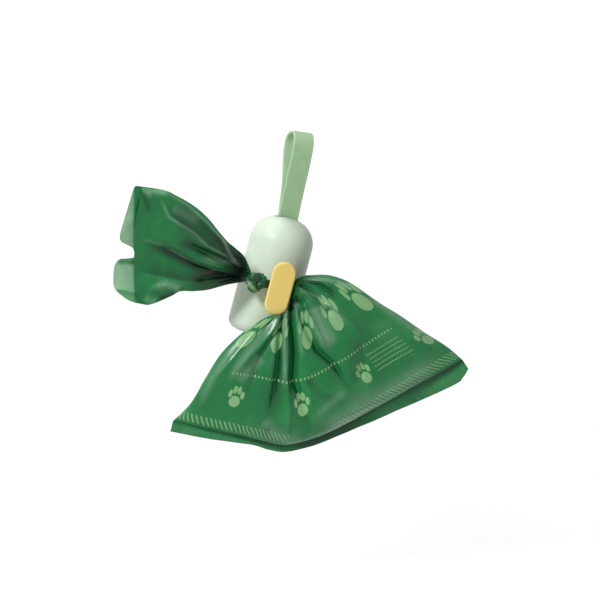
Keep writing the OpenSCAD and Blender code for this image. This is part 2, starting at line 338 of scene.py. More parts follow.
def webbing(name):
    """Tight twill webbing: slanting ribs of fine yarn, paler at the rubbed edges and on the back strand,
    which is painted light.  UV in metres.
    """
    s = Shader(name, (0.27, 0.46, 0.22), 0.75, Specular_IOR_Level=0.25, Sheen_Weight=0.25,
               Sheen_Roughness=0.4)
    uv = s.uv()
    parts = s.node("ShaderNodeSeparateXYZ", Vector=uv)
    along, across = parts.outputs["Y"], parts.outputs["X"]
    slant = s.math("ADD", s.times(along, 3400.0), s.times(across, 3400.0))
    ribs = s.math("ABSOLUTE", s.math("SINE", slant))
    weft = s.math("ABSOLUTE", s.math("SINE", s.times(across, 4600.0)))
    weave = s.times(s.math("POWER", ribs, 0.6), s.scaled(weft, 0.35, 0.65))
    soft = s.noise(s.object_place(), 160.0, 4.0)
    shade = s.times(weave, s.scaled(soft, 0.5, 0.75))
    # The edge attribute holds real wear at the rubbed edges and painted light on the back strand.
    rubbed_and_lit = s.attribute("edge")
    body = s.colours(s.math("MINIMUM", shade, 1.0), (0.25, 0.45, 0.22), (0.51, 0.75, 0.45))
    s.set("Base Color", s.colours(s.times(rubbed_and_lit, 0.4), body, (0.62, 0.80, 0.56)))
    s.set("Normal", s.bump(weave, 0.00018, 0.9))
    return s.material


def spots(s, place, cell, centres):
    """Distance field of a motif repeated in cells: below 0 inside.  Centres: (x, y, rx, ry)."""
    cells = s.vector("DIVIDE", place, (cell[0], cell[1], 1.0))
    inside = s.vector("SUBTRACT", s.vector("FRACTION", cells), (0.5, 0.5, 0.0))
    local = s.vector("MULTIPLY", inside, (cell[0], cell[1], 0.0))
    field = None
    for x, y, rx, ry in centres:
        shifted = s.vector("SUBTRACT", local, (x, y, 0.0))
        reach = s.vector("LENGTH", s.vector("DIVIDE", shifted, (rx, ry, 1.0)))
        field = reach if field is None else s.math("MINIMUM", field, reach)
    return s.math("SUBTRACT", field, 1.0)


def paw(size):
    """A plain paw print: a pad and four toes, as ellipses in metres."""
    ellipses = [(0.0, -0.22, 0.30, 0.25)]
    for side in (-1, 1):
        ellipses += [(0.36 * side, 0.10, 0.12, 0.17), (0.13 * side, 0.30, 0.12, 0.18)]
    return [tuple(number * size for number in ellipse) for ellipse in ellipses]


def filled(s, field, soft):
    """1 inside a motif whose distance field is given, 0 outside."""
    return s.inverse(s.step(field, -soft, soft))


def band(s, value, low, high, soft=0.0004):
    """1 while the value is between low and high."""
    return s.times(s.step(value, low - soft, low + soft),
                   s.inverse(s.step(value, high - soft, high + soft)))


def bag_print(s):
    """Pale print on the film: paw prints, rows of dots and a slanting hatch along the hem."""
    uv = s.uv()
    parts = s.node("ShaderNodeSeparateXYZ", Vector=uv)
    across, up = parts.outputs["X"], parts.outputs["Y"]
    large = spots(s, s.vector("ADD", uv, (0.012, -0.052, 0.0)), (0.050, 0.060), paw(0.030))
    large = s.times(filled(s, large, 0.04), band(s, up, 0.054, 0.110))
    small = spots(s, s.vector("ADD", uv, (0.0, -0.024, 0.0)), (0.064, 0.022), paw(0.015))
    small = s.times(filled(s, small, 0.06), band(s, up, 0.025, 0.045))
    dots = spots(s, uv, (0.0040, 0.0040), [(0.0, 0.0, 0.0009, 0.0009)])
    dots = s.times(filled(s, dots, 0.2),
                   s.times(band(s, up, 0.0475, 0.0525), band(s, across, 0.02, 0.21)))
    fine = spots(s, uv, (0.0026, 0.0030), [(0.0, 0.0, 0.0009, 0.0006)])
    fine = s.times(s.math("SUBTRACT", 0.75, s.step(fine, -0.2, 0.3)),
                   s.times(band(s, up, 0.0290, 0.0445), band(s, across, 0.171, 0.209)))
    slant = s.math("FRACT", s.times(s.math("ADD", across, up), 1.0 / 0.0034))
    hatch = s.times(band(s, slant, 0.28, 0.60, 0.07), band(s, up, 0.0110, 0.0170))
    hatch = s.times(hatch, s.inverse(band(s, across, 0.085, 0.125, 0.004)))
    motifs = s.math("MAXIMUM", s.math("MAXIMUM", large, small), fine)
    return s.math("MAXIMUM", motifs, s.math("MAXIMUM", dots, hatch))


PRINT_TONE = (0.30, 0.56, 0.25)
# Colour of the painted sheen: pale reflections painted on the film.
PAINTED_SHEEN_TONE = (0.20, 0.37, 0.24)
FILM_LAYERS = 4.0
FILM_TONES = [(0.25, (0.29, 0.53, 0.33)), (0.36, (0.10, 0.34, 0.15)), (0.50, (0.009, 0.20, 0.052)),
              (0.75, (0.003, 0.070, 0.020)), (1.0, (0.001, 0.010, 0.003))]


def film(name, printed, crinkled):
    """Thin glossy film, darker the more layers lie over each other; the layers also hold painted shade, and
    pale reflections are painted on as a painted sheen.
    """
    s = Shader(name, (0.012, 0.185, 0.05), 0.25, Specular_IOR_Level=0.14, Coat_Weight=0.32,
               Coat_Roughness=0.14)
    place = s.object_place()
    uv = s.uv()
    streaks = s.noise(s.stretched(uv, (190.0, 16.0, 1.0)), 1.0, 4.0, 0.6)
    cloudy = s.noise(place, 32.0, 4.0)
    uneven = s.scaled(cloudy, 0.8, s.scaled(streaks, 0.3, -0.55))
    layers = s.math("ADD", s.attribute("layers"), uneven)
    colour = s.ramp(s.math("DIVIDE", layers, FILM_LAYERS), FILM_TONES)
    if printed:
        worn = s.scaled(streaks, 0.25, 0.68)
        colour = s.colours(s.times(bag_print(s), worn), colour, PRINT_TONE)
    colour = s.colours(s.attribute("inked"), colour, PRINT_TONE)
    # Painted sheen: pale reflections painted into the colour along the sheen lines.
    painted_sheen_mix = s.times(s.attribute("painted_sheen"), s.scaled(streaks, 1.2, 0.35))
    colour = s.colours(s.math("MINIMUM", painted_sheen_mix, 0.85), colour, PAINTED_SHEEN_TONE)
    s.set("Base Color", colour)
    s.set("Roughness", s.scaled(streaks, 0.25, 0.16))
    fine = s.noise(place, 300.0, 4.0, 0.55)
    creases = s.node("ShaderNodeTexVoronoi", Vector=place, Scale=95.0)
    creases.feature = "DISTANCE_TO_EDGE"
    sharp = s.step(creases.outputs["Distance"], 0.0, 0.2)
    first = s.bump(s.scaled(sharp, 0.3, fine), 0.0007, crinkled)
    pulled = s.scaled(s.attribute("drawn"), 0.5, 0.12)
    s.set("Normal", s.bump(streaks, 0.0007, pulled, normal=first))
    return s.material


MINT = moulded_plastic("mint_plastic", (0.66, 0.78, 0.63), (0.72, 0.83, 0.69), 0.44)
YELLOW = moulded_plastic("yellow_plastic", (0.93, 0.69, 0.19), (0.97, 0.73, 0.23), 0.48)
INNER = moulded_plastic("inner_plastic", (0.40, 0.49, 0.37), (0.46, 0.55, 0.43), 0.55)
STEEL = metal("plated_steel", (0.62, 0.63, 0.65), 0.32)
SEAL = rubber("seal_rubber", (0.02, 0.024, 0.022))
LIP = rubber("lip_rubber", (0.10, 0.18, 0.115))
CARD = cardboard("core_card")
WEBBING = webbing("strap_webbing")
FILM = film("bag_film", False, 0.3)
PRINTED = film("printed_film", True, 0.24)


def finish_cad_nodes():
    """Gives the rigid CAD nodes their materials."""
    looks = [(MINT, "mint_shell", ["dome_cap", "canister"]), (YELLOW, "yellow_clip", ["clip_hook"]),
             (INNER, "inner_plastic", ["pin_keeper", "clip_backing"]),
             (STEEL, "steel", ["strap_pin", "keeper_screws", "clip_screws"]),
             (SEAL, "seal_rubber", ["seal_ring"]), (LIP, "lip_rubber", ["film_lip"]),
             (CARD, "card", ["roll_core"])]
    for material, slot, names in looks:
        for node in [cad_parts[name] for name in names]:
            node.data.materials.clear()
            node.data.materials.append(material)


# ---------------------------------------------------------------- strap
def strap_centreline():
    """Points (depth, height) of the middle of the webbing, once round, from the pin's underside."""
    ring = PIN_R + STRAP_THICK / 2
    lay = STRAP_THICK / 2 + 0.05
    bend = STRAP_BEND - STRAP_THICK / 2
    top = STRAP_HEIGHT - STRAP_BEND
    side = []
    for k in range(9):
        a = math.radians(-90 + 12 * k)
        side.append((ring * math.cos(a), -PIN_DEPTH + ring * math.sin(a)))
    side += [(lay, -PIN_DEPTH + 3.4), (lay, -1.5), (lay, 1.0), (lay + 0.1, 3.5)]
    for k in range(1, 9):
        t = k / 8
        side.append((mix(lay + 0.1, bend, smooth(-0.15, 1.1, t)), mix(3.5, top - 3.5, t)))
    for k in range(13):
        a = math.radians(5 + 85 * k / 12)
        side.append((bend * math.cos(a), top + bend * math.sin(a)))
    return side + [(-y, z) for y, z in side[-2:0:-1]]


def make_strap():
    """Webbing swept round its loop: flat faces, rounded edges, and a lean above the dome."""
    centre = strap_centreline()
    count = len(centre)
    half, thick, edge = STRAP_WIDTH / 2, STRAP_THICK / 2, 0.5
    section = []
    for k in range(5):
        a = math.radians(90 - 90 * k / 4)
        section.append((half - edge + edge * math.cos(a), thick - edge + edge * math.sin(a)))
    section += [(x, -y) for x, y in reversed(section)]
    section = section + [(-x, y) for x, y in reversed(section)]
    ribs = [half * (1 - 2 * k / 10) for k in range(1, 10)]
    lower = [(x, -thick) for x in ribs]
    upper = [(-x, thick) for x in ribs]
    section = section[:10] + lower + section[10:] + upper
    points, uvs, rubbed_edges_and_lit_back = [], [], []
    travelled = 0.0
    for i in range(count):
        p = Vector((0.0, *centre[i]))
        before = Vector((0.0, *centre[i - 1]))
        after = Vector((0.0, *centre[(i + 1) % count]))
        travelled += (p - before).length if i else 0.0
        tangent = (after - before).normalized()
        outward = Vector((0.0, tangent.z, -tangent.y))
        for x, y in section:
            q = p + outward * y + Vector((x, 0.0, 0.0))
            q.x -= STRAP_SPLAY * smooth(15.0, 46.0, q.z) * smooth(0.0, STRAP_BEND, q.y)
            bend = Matrix.Rotation(-STRAP_LEAN * smooth(-1.0, 6.0, q.z), 3, "Y")
            points.append(on_case(*(bend @ q)))
            uvs.append((x * MM, (travelled + 0.2 * y) * MM))
            # Painted light: the loop's back strand is painted paler, as if lit.
            painted_lit_back = 0.9 * smooth(2.0, 6.0, q.y)
            rubbed_edges_and_lit_back.append(max(painted_lit_back, smooth(half - 1.3, half - 0.4, abs(x))))
    faces = grid_faces(count, len(section), True, True)
    return make_object("strap_webbing", points, faces, uvs, {"edge": rubbed_edges_and_lit_back}, WEBBING, "strap",
                       ["strap_loop"], scale=1.0)


# ---------------------------------------------------------------- folds and outlines of the bag
class Fold:
    """A crease drawn through pixels.  Pairs are for its left and right side, seen along its way.

    Rise is its height in mm, reach how far it slopes off; layers are the layers of film more that
    lie beside it, fading over the spread in mm: partly real overlaps of film, partly painted shade
    beside the crease; below 0 they make the film paler.
    """

    def __init__(self, pixels, rise, reach=(3.0, 3.0), layers=(0.0, 0.0), spread=4.0):
        self.rise, self.reach, self.layers, self.spread = rise, reach, layers, spread
        lengths = [math.dist(a, b) for a, b in zip(pixels, pixels[1:])]
        total = sum(lengths)
        self.parts = []
        done = 0.0
        for (ax, ay), (bx, by), length in zip(pixels, pixels[1:], lengths):
            self.parts.append((ax, ay, (bx - ax) / length, (by - ay) / length, length,
                               done / total, length / total))
            done += length
        margin = 4.5 * max(*reach, spread) / MM_PER_PIXEL
        xs, ys = zip(*pixels)
        self.box = (min(xs) - margin, max(xs) + margin, min(ys) - margin, max(ys) + margin)

    def at(self, px, py):
        """Height and extra layers, with their painted shade, that the fold gives to the place seen at a
        pixel.
        """
        low_x, high_x, low_y, high_y = self.box
        if not (low_x < px < high_x and low_y < py < high_y):
            return 0.0, 0.0
        best, along, off = 1e9, 0.0, 0.0
        for ax, ay, dx, dy, length, start, share in self.parts:
            x, y = px - ax, py - ay
            s = max(0.0, min(length, x * dx + y * dy))
            distance = math.hypot(x - s * dx, y - s * dy)
            if distance < best:
                best, along, off = distance, start + share * s / length, dx * y - dy * x
        right = smooth(-0.8, 0.8, off * MM_PER_PIXEL)
        reach = mix(*self.reach, right)
        distance = best * MM_PER_PIXEL
        fade = smooth(-0.02, 0.10, along) * (1 - smooth(0.72, 1.0, along))
        blunt = math.hypot(distance, 0.7) - 0.7
        height = self.rise * fade * math.exp(-blunt / (reach * (0.45 + 0.75 * along)))
        layers_and_painted_shading = mix(*self.layers, right) * fade * math.exp(-(distance / self.spread) ** 2)
        return height, layers_and_painted_shading


def painted_sheen_stroke(pixels, strength, spread):
    """A painted pale soft reflection along pixels of the photograph."""
    return Fold(pixels, 0.0, layers=(strength, strength), spread=spread)


def strokes(kind, table):
    """Folds or glows from a table of named pixel lines and their numbers."""
    return [kind(*row) for row in table.values()]


def folded(folds, p):
    """Height and extra layers, with their painted shade, of all folds at a point in mm."""
    px, py = pixel_of(p)
    found = [fold.at(px, py) for fold in folds]
    return sum(f[0] for f in found), sum(f[1] for f in found)


POUCH_LEFT = [(290, 296), (288, 304), (284, 311.5), (277, 315.2), (268.4, 316.2), (254, 324.6),
              (238.6, 335.8), (220.7, 354), (206, 377), (190.8, 403), (173, 421)]
POUCH_RIGHT = [(295.6, 277.8), (300.5, 275.8), (311, 275), (326, 274.7), (340, 278), (353.9, 284.9),
               (380, 303), (399.6, 315), (425, 332.5), (447.3, 346.8), (463, 360.4)]
POUCH_SEAM = [(173, 421), (205, 428.5), (242.5, 436), (264, 441.5), (284.3, 445), (313, 438),
              (344, 424), (373, 409), (403.6, 392.2), (434, 376), (463, 360.4)]
POUCH_HEM = [(169.4, 430.6), (208, 438), (250.5, 444), (268, 449), (284, 451), (305, 447),
             (330, 438), (390, 412.5), (451.3, 385), (462, 376.5), (467.2, 368)]
# Folds of the pouch's front; their layers are partly real overlaps, partly painted shade beside the
# creases.
POUCH_FOLDS = strokes(Fold, {
    "middle ridge": ([(293, 290), (285, 318), (285, 348), (283.5, 376), (285.5, 407), (284.5, 447)], 2.4,
     (2.2, 2.2)),
    "left tuck": ([(291, 296), (281, 318), (278, 335), (276, 360), (272, 388), (264, 424)], -3.8,
     (4.0, 1.6), (1.0, 0.0), 4.5),
    "right tuck": ([(294, 296), (292, 322), (293.5, 348), (291.5, 376), (301, 407), (311, 431)], -3.4,
     (1.6, 4.0), (0.1, 1.0), 4.5),
    "long crease": ([(297, 293), (303, 324), (315, 348), (329, 360), (344, 380), (353, 389)], -3.6,
     (1.8, 4.0), (0.2, 0.9), 3.0),
    "print ridge": ([(297, 287), (314, 300), (332, 306), (350, 320), (360, 342)], 2.6, (3.0, 4.0)),
    "round crease": ([(358, 340), (362, 358), (355, 378), (343, 384)], -1.8, (3.0, 6.0)),
    "left streak": ([(290, 300), (276, 324), (258, 344), (242, 360), (228, 376)], 2.6, (3.0, 3.5)),
    "left dent": ([(290, 304), (272, 334), (260, 352), (249, 380), (243, 402)], -2.4, (2.5, 3.5),
     (0.3, 0.0), 3.0),
    "left shoulder": ([(285, 309), (252, 331), (236, 350), (214, 376), (194, 406)], 2.8, (5.0, 4.0)),
    "right shoulder": ([(300, 279), (335, 281), (353, 289), (378, 308), (402, 324), (428, 342), (448, 354)],
     2.6, (4.0, 6.0)),
    "lower band": ([(322, 420), (350, 409), (392, 391), (422, 372), (450, 350)], 2.4, (7.0, 4.0)),
    "lower dent": ([(303, 376), (321, 393), (340, 402), (352, 410)], -2.0, (3.0, 3.0), (0.2, 0.2), 3.0),
    "inner ridge": ([(297, 290), (309, 318), (318, 336), (323, 350)], 2.0, (1.8, 2.2)),
    "top crease": ([(298, 284), (308, 290), (322, 302), (330, 316)], -2.6, (2.0, 2.0), (0.5, 0.5), 2.5),
    "top strand": ([(299, 280), (315, 283), (330, 291), (340, 303)], -2.4, (2.0, 2.0), (0.8, 0.3), 2.5),
    "left crease": ([(288, 303), (270, 321), (256, 336)], -2.6, (2.0, 2.5), (0.6, 0.2), 2.5),
    "corner crease": ([(264, 424), (272, 436), (283, 446)], -2.0, (2.5, 2.0), (0.5, 0.0), 3.0)})
# Painted sheen: pale soft reflections painted on the pouch's front film.
POUCH_PAINTED_SHEEN = strokes(painted_sheen_stroke, {
    "beside clip": ([(313, 306), (319, 322), (324, 334), (336, 348)], 0.75, 5.0),
    "below neck": ([(296, 300), (299, 322), (301, 345), (303, 362)], 0.5, 1.6),
    "middle": ([(287, 305), (284, 330), (284.5, 356), (285, 392)], 0.75, 1.3),
    "left fan": ([(281, 316), (262, 334), (243, 358), (226, 386)], 0.55, 2.6),
    "left short": ([(262, 356), (248, 372), (236, 384)], 0.5, 3.0),
    "left edge": ([(248, 334), (228, 354), (212, 378), (197, 412)], 0.4, 2.2),
    "low right": ([(322, 433), (352, 411), (388, 392), (424, 370), (450, 352)], 0.5, 6.0),
    "bottom": ([(263, 420), (274, 434), (290, 441), (306, 436)], 0.5, 4.0),
    "top": ([(300, 280), (322, 279), (345, 284), (362, 294)], 0.6, 1.5),
    "top right": ([(366, 297), (392, 314), (420, 334), (444, 350)], 0.5, 1.8),
    "under top": ([(300, 290), (318, 297), (336, 312), (352, 330)], 0.45, 1.6),
    "low middle": ([(345, 392), (330, 404), (312, 420)], 0.4, 2.4)})
# Folds of the pouch's back; their layers are partly real overlaps, partly painted shade in the creases.
BACK_FOLDS = strokes(Fold, {
    "left crease": ([(290, 300), (262, 336), (240, 366), (214, 404)], -3.0, (3.0, 3.0), (0.4, 0.4), 3.0),
    "left ridge": ([(292, 300), (274, 345), (262, 390), (256, 425)], 2.8),
    "middle crease": ([(294, 300), (292, 345), (288, 395), (290, 436)], -3.6, (3.0, 3.0), (0.6, 0.6), 4.0),
    "middle ridge": ([(296, 298), (312, 340), (326, 385), (338, 418)], 2.6, (3.0, 4.0)),
    "right crease": ([(298, 294), (330, 325), (356, 356), (384, 392)], -3.2, (3.0, 3.0), (0.4, 0.4), 3.0),
    "right ridge": ([(300, 288), (345, 306), (392, 336), (436, 366)], 2.6, (3.0, 4.0))})

TAIL_START = [(251, 272), (249, 279)]
TAIL_DEPTH = -26.3
FRONT_MOUTH_MIDDLE = (134.5, 250)
TAIL_TOP = [(251, 272), (248, 264), (244, 255.8), (236, 248.5), (227.6, 241.4), (219, 231.5),
            (209.7, 219.9), (200, 210.5), (189.3, 202.7), (176, 195.3), (163.8, 190)]
TAIL_BOTTOM = [(249, 279), (245.4, 281.4), (227.6, 284.6), (208.4, 289.7), (194.4, 291.2),
               (180.4, 291.4), (171.4, 296), (154.8, 303.2)]
FRONT_MOUTH = [(141, 187), (139.5, 200), (136, 215), (134, 231), (133.5, 246), (134, 262),
               (134, 280), (136.5, 295), (147, 305)]
BACK_MOUTH = [(140.2, 186.6), (134.6, 187.2), (130, 201), (125.5, 215.9), (121.5, 229),
              (119.8, 236.3), (121, 241.4), (127, 245), (132.6, 248), (134.6, 254), (132.5, 259.5),
              (126, 259.2), (119.6, 259.4), (114.9, 266), (113.8, 278), (114.9, 288.6),
              (122, 296), (132, 302), (147.2, 305.2)]
# Folds of the tail; their layers are partly real overlaps, partly painted shade beside the creases; below 0
# they make the film paler.
TAIL_FOLDS = strokes(Fold, {
    "ridge": ([(247, 272), (238, 266), (218, 252), (196, 237), (184, 228), (168, 213), (163, 198)], 3.0,
     (4.0, 3.0), (0.1, 0.9), 8.0),
    "dark": ([(247, 276), (240, 278), (215, 271), (195, 263), (177, 254), (160, 246), (142, 239.5)], -4.2,
     (5.0, 2.2), (1.9, 0.2), 4.2),
    "crease": ([(246, 273), (238, 267), (222, 259), (206, 252), (190, 245), (176, 239)], -3.6, (3.0, 3.0),
     (1.2, 0.9), 3.5),
    "edge ridge": ([(245, 269), (239, 265), (232, 254), (224, 241), (213, 227)], 2.4, (2.5, 2.5),
     (0.7, 0.2), 4.0),
    "step": ([(205, 283), (177, 279), (158, 275), (134, 271)], 1.8, (4.0, 4.0), (-0.25, 0.7), 7.0),
    "low band": ([(247, 280), (225, 284), (202, 286), (180, 287)], 0.6, (3.0, 3.0), (0.9, 0.9), 4.5),
    "low crease": ([(246, 277), (230, 276), (210, 277), (188, 280)], -2.8, (2.5, 2.5), (1.0, 1.0), 3.5),
    "pale pucker": ([(182, 290), (166, 284), (153, 287), (147, 297)], 2.6, (2.2, 2.2), (-0.4, -0.3), 2.6),
    "top crease": ([(246, 268), (236, 252), (222, 240), (205, 224), (190, 212), (172, 201)], -2.4,
     (2.5, 2.5), (0.8, 0.3), 4.0),
    "corner": ([(139, 188), (143, 196), (146, 205), (147, 214)], 1.8, (2.0, 2.0), (0.5, 0.5), 2.0),
    "top hem": ([(169, 192), (155, 191), (138, 190)], 0.5, (3.0, 3.0), (-0.85, -0.85), 2.8),
    "low corner": ([(157, 301), (150, 301), (143, 296)], 1.0, (2.0, 2.0), (-0.7, -0.7), 3.5),
    "low tuck": ([(159, 299), (168, 297), (178, 293)], -1.5, (2.0, 2.0), (1.0, 1.0), 2.5)})
KNOT_PRINT = [(243, 277), (251, 286), (260, 295)]
# Painted sheen: pale soft reflections painted on the tail's front film.
TAIL_PAINTED_SHEEN = strokes(painted_sheen_stroke, {
    "upper": ([(161, 199), (168, 216), (194, 233), (207, 246), (229, 257), (238, 267)], 0.45, 0.9),
    "lower": ([(140, 238), (166, 246), (183, 256), (207, 266), (225, 273), (238, 278)], 0.35, 0.9),
    "rim": ([(164, 191), (187, 204), (207, 222), (225, 242), (238, 258)], 0.5, 0.9),
    "short": ([(222, 238), (229, 253), (240, 268)], 0.4, 0.9),
    "middle": ([(172, 207), (186, 214), (202, 224)], 0.3, 3.5),
    "knot": ([(235, 262), (218, 262), (200, 257)], 0.3, 2.0),
    "low corner": ([(180, 288), (166, 283), (152, 288)], 0.5, 2.4),
    "top corner": ([(141, 188), (147, 192), (152, 198)], 0.6, 1.4)})
# Folds of the back sheet's flap; their layers are partly real overlaps, partly painted shade.
FLAP_FOLDS = strokes(Fold, {
    "top": ([(134, 262), (126, 261), (116, 262)], 0.8, (2.0, 2.0), (0.7, 0.7), 1.8),
    "bottom": ([(138, 293), (128, 291), (113, 289)], 1.0, (2.0, 2.0), (0.45, 0.0), 6.0)})


# ---------------------------------------------------------------- film pieces
def rumple(point, size, seed):
    """A smooth uneven height from about -1 to 1, the same at each run."""
    return noise.noise(Vector(point) / size + Vector((seed, 2.3 * seed, -seed)))


def patch(left, right, near, far, rows, columns):
    """Points of a four-sided surface: left and right edges run from near to far; row 0 is near."""
    grid = []
    for i in range(rows):
        r = i / (rows - 1)
        a, b = left(r), right(r)
        row = []
        for j in range(columns):
            t = j / (columns - 1)
            p = a * (1 - t) + b * t + near(t) * (1 - r) + far(t) * r
            p -= (left(0) * (1 - t) + right(0) * t) * (1 - r)
            p -= (left(1) * (1 - t) + right(1) * t) * r
            row.append(p)
        grid.append(row)
    return grid


def pixel_curve(pixels, depths):
    """A curve through pixels of the photograph; its depth runs evenly through the given depths."""
    points = []
    for k, (px, py) in enumerate(pixels):
        s = k / (len(pixels) - 1) * (len(depths) - 1)
        i = min(int(s), len(depths) - 2)
        points.append(at_pixel(px, py, mix(depths[i], depths[i + 1], s - i)))
    return lambda t: curve_through(points, t)


class FilmPoints:
    """Points of a film, their places on the flat film and the values that its material reads."""

    def __init__(self):
        self.points, self.uvs = [], []
        self.values = {"layers": [], "drawn": [], "painted_sheen": []}

    def add(self, point, uv, layers, drawn, painted_sheen):
        self.points.append(point)
        self.uvs.append(uv)
        for key, value in zip(self.values, (layers, drawn, painted_sheen)):
            self.values[key].append(value)

    def made(self, name, faces, material, body, replaces):
        return make_object(name, self.points, faces, self.uvs, self.values, material, body, replaces)


# The pouch: depths in mm along its outlines, and its grid.
LEFT_DEPTHS = [-26.5, -31, -33.4, -33.2, -32.6, -32]
RIGHT_DEPTHS = [-27, -28, -30, -32]
SEAM_DEPTHS = [-32, -32, -31, -32, -32]
HEM_DEPTHS = [-31, -30, -28, -29, -31]
POUCH_ROWS, POUCH_COLUMNS, HEM_ROWS = 150, 220, 11
FRONT_BULGE, BACK_BULGE = 25.0, 19.0
RING_R, RING_TOP = 3.0, 5.8
PLEATS = 46 * math.pi
# Flat sizes of the bag's film in m: its width, its hem and its filled part.
FLAT_WIDTH, FLAT_HEM, FLAT_FILLED = 0.23, 0.007, 0.115


def neck_ring(t, front):
    """The gathered end of the pouch: half a ring round the neck, t from its underside to its top."""
    a = math.radians(-90 + 180 * t)
    rise = (RING_R if a < 0 else RING_TOP) * math.sin(a)
    y = NECK_Y + (-1 if front else 1) * RING_R * math.cos(a) - 0.4 * max(0.0, rise - 2.5)
    return on_case(NECK_RIGHT + 0.2, y, -NECK_DEPTH + rise) / MM


def pouch_patch(front, seam):
    """The film's middle surface between its two outlines, from the neck's ring to the seam."""
    def edge(pixels, depths, start):
        curve = pixel_curve(pixels, depths)
        return lambda r: start.lerp(curve(r), smooth(0.0, 0.06, r))

    return patch(edge(POUCH_LEFT, LEFT_DEPTHS, neck_ring(0, front)),
                 edge(POUCH_RIGHT, RIGHT_DEPTHS, neck_ring(1, front)),
                 lambda t: neck_ring(t, front), seam, POUCH_ROWS, POUCH_COLUMNS)


def hem_shade(t, h, spread):
    """Painted shade in the fold of the hem, as dark film layers, at h from it."""
    return mix(0.4, 1.3, smooth(0.2, 0.4, t)) * math.exp(-(h / spread) ** 2)


def add_pouch_point(film_points, p, r, t, front):
    """A point of the bulging film, r from the neck to the hem and t across."""
    bulge = (FRONT_BULGE if front else BACK_BULGE) * (
        r ** 1.15 * math.sqrt(max(0.0, 1 - r ** 3.2)) * math.sin(math.pi * t) ** 0.6)
    away = math.sin(math.pi * t) ** 0.25 * math.sqrt(max(0.0, 1 - r ** 6)) * smooth(-0.02, 0.08, r)
    dents = 4.4 * rumple((p.x, 0, p.z), 34.0, 3.1 if front else 8.7) * smooth(0.15, 0.6, r)
    small = 0.45 * rumple((p.x, 0, 0.6 * p.z), 9.0, 5.2) * smooth(0.05, 0.3, r)
    pleat = math.sin(PLEATS * t)
    pleats = 0.5 * pleat * (1 - smooth(0.0, 0.26, r))
    # Pleat valleys near the neck are darker: partly real folded-over film, partly painted shade.
    tucked_and_shaded = 0.9 * (1 - smooth(0.0, 0.22, r)) * (0.5 - 0.5 * pleat)
    height, layers_and_painted_shading = folded(POUCH_FOLDS if front else BACK_FOLDS, p)
    p.y += (-1 if front else 1) * (bulge + away * (dents + small + 1.3 * height) + pleats)
    if not front:
        p.y = clear_of_case(p)
    p.y = clear_of_clip(p, front)
    uv = ((t if front else 2 - t) * FLAT_WIDTH, FLAT_HEM + (1 - r) * FLAT_FILLED)
    # The layers hold painted shade in the neck's pleats, beside creases and in the hem's fold; the front
    # gets painted sheen along its lines, the back a little everywhere.
    film_points.add(p, uv, 2.0 + layers_and_painted_shading + tucked_and_shaded + hem_shade(t, 1 - r, 0.016),
                    1 - smooth(0.04, 0.42, r),
                    min(1.0, folded(POUCH_PAINTED_SHEEN, p)[1]) if front else 0.3)


def add_hem_point(film_points, p, h, t, front):
    """A point of the flat hem, h from the seam to its edge and t across."""
    lift = 0.8 * rumple((p.x, 0, p.z), 11.0, 6.4) * h
    apart = 0.35 * math.sin(math.pi * min(1.0, h + 0.25)) + 0.06
    p.y += lift - 2.6 * smooth(0.0, 0.9, h)
    p.y += (-1 if front else 1) * apart * math.sin(math.pi * t) ** 0.3
    # The hem's dark middle: partly film turned over, partly painted shade under the overhanging bulge.
    turned_and_shaded = 1.1 * smooth(0.36, 0.44, t) * (1 - smooth(0.56, 0.72, t))
    film_points.add(p, ((t if front else 2 - t) * FLAT_WIDTH, FLAT_HEM * (1 - h)),
                    1.85 + hem_shade(t, h, 0.22) + turned_and_shaded, 0.0, 0.0)


def make_pouch():
    """The filled part: front and back film, gathered at the neck, bulging and ending in a flat hem."""
    seam = pixel_curve(POUCH_SEAM, SEAM_DEPTHS)
    hem = pixel_curve(POUCH_HEM, HEM_DEPTHS)
    film_points = FilmPoints()
    for front in (True, False):
        for i, row in enumerate(pouch_patch(front, seam)):
            for j, p in enumerate(row):
                add_pouch_point(film_points, p, i / (POUCH_ROWS - 1), j / (POUCH_COLUMNS - 1), front)
        for i in range(1, HEM_ROWS):
            h = i / (HEM_ROWS - 1)
            for j in range(POUCH_COLUMNS):
                t = j / (POUCH_COLUMNS - 1)
                add_hem_point(film_points, seam(t).lerp(hem(t), h), h, t, front)
    rows = POUCH_ROWS + HEM_ROWS - 1
    faces = grid_faces(rows, POUCH_COLUMNS)
    faces += grid_faces(rows, POUCH_COLUMNS, offset=rows * POUCH_COLUMNS, flip=True)
    pouch = film_points.made("pouch_film", faces, PRINTED, "pouch", ["bag_pouch"])


CASE_BASE_Z = DOME_TOP.z - CASE_HEIGHT * math.cos(CASE_LEAN) - CASE_R * math.sin(CASE_LEAN)


def clear_of_case(p):
    """Depth of a point of the pouch's back: in front of the case, also while the neck is lifted."""
    low = CASE_BASE_Z - NECK_LIFT
    limit = mix(-10.0, -22.4, smooth(low - 26.0, low - 1.0, p.z))
    over = p.y - limit
    return p.y if over <= 0 else limit + 0.04 * over


def clear_of_clip(p, front):
    """Depth of a point of the pouch: in front of the clip plate's way while the neck is lifted."""
    upright = Matrix.Rotation(-CASE_LEAN, 3, "Y") @ (p - DOME_TOP)
    within = (1 - smooth(7.9, 8.7, upright.x)) * smooth(-98.0, -84.0, upright.z)
    limit = -33.2 if front else -32.7
    return mix(p.y, min(p.y, limit), within)


TAIL_ROWS, TAIL_COLUMNS = 110, 150
TAIL_PLEATS = 50
KNOT_UPPER, KNOT_LOWER = [at_pixel(*place, TAIL_DEPTH) for place in TAIL_START]
FRONT_EDGE_X = at_pixel(*FRONT_MOUTH_MIDDLE, TAIL_DEPTH).x


